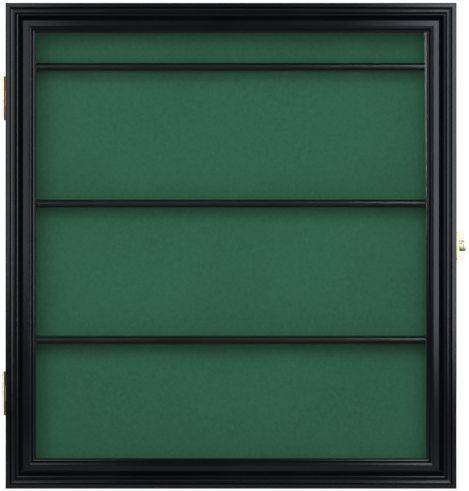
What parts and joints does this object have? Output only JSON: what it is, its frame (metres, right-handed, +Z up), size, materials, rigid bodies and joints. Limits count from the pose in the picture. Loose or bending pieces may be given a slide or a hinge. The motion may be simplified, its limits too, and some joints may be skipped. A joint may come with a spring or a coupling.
{
  "type": "golf ball display case",
  "caption": "Wall display case for golf balls: grooved box with lift-out shelves and a felt back, closed by a moulded glazed door on butt hinges with a key hasp.",
  "frame": {"origin": "middle of the underside of the case, half way through the depth of its boards", "axes": "+X to the right seen from the front, +Y to the back, +Z up; the door closes the front, towards -Y"},
  "size_m": [0.5344, 0.0788, 0.56],
  "materials": {
    "lacquered_wood": "black satin lacquer",
    "felt": "green pressed felt",
    "clear_glass": "clear float glass",
    "brass": "polished, lacquered",
    "hardboard": "smooth hardboard",
    "steel": "bright zinc",
    "glazing_bead": "stained, satin"
  },
  "bodies": {
    "case": {"case_side_left": "lacquered_wood", "case_side_right": "lacquered_wood", "case_top": "lacquered_wood", "case_bottom": "lacquered_wood", "felt_liner": "felt", "back_panel": "hardboard", "shelf_lower": "lacquered_wood", "shelf_middle": "lacquered_wood", "shelf_upper": "lacquered_wood", "corner_brads": "steel", "panel_brads": "steel", "hanger_left": "steel", "hanger_right": "steel", "hanger_nails": "steel", "hinge_case_leaf_upper": "brass", "hinge_case_leaf_lower": "brass", "hinge_pin_upper": "brass", "hinge_pin_lower": "brass", "hinge_case_screws": "brass", "lock_body": "brass", "lock_screws": "brass"},
    "door": {"door_top_rail": "lacquered_wood", "door_bottom_rail": "lacquered_wood", "door_hinge_stile": "lacquered_wood", "door_latch_stile": "lacquered_wood", "v_nails": "steel", "clear_pane": "clear_glass", "glazing_strip_top": "glazing_bead", "glazing_strip_bottom": "glazing_bead", "glazing_strip_left": "glazing_bead", "glazing_strip_right": "glazing_bead", "glazing_brads": "steel", "hinge_door_leaf_upper": "brass", "hinge_door_leaf_lower": "brass", "hinge_door_screws": "brass", "hasp_leaf": "brass", "hasp_screws": "brass", "hasp_pin": "brass"},
    "hasp": {"hasp_flap": "brass"},
    "lock": {"lock_plug": "brass"}
  },
  "joints": [
    {"name": "door_hinge", "type": "hinge", "parent": "case", "child": "door", "pos_m": [-0.2618, -0.02875, 0.28], "axis": [0, 0, -1], "range_deg": [0, 180]},
    {"name": "hasp_hinge", "type": "hinge", "parent": "door", "child": "hasp", "pos_m": [0.2614, -0.0308, 0.28], "axis": [0, 0, -1], "range_deg": [0, 100]},
    {"name": "lock_turn", "type": "hinge", "parent": "case", "child": "lock", "pos_m": [0.264, -0.0158, 0.28], "axis": [1, 0, 0], "range_deg": [0, 90]}
  ]
}
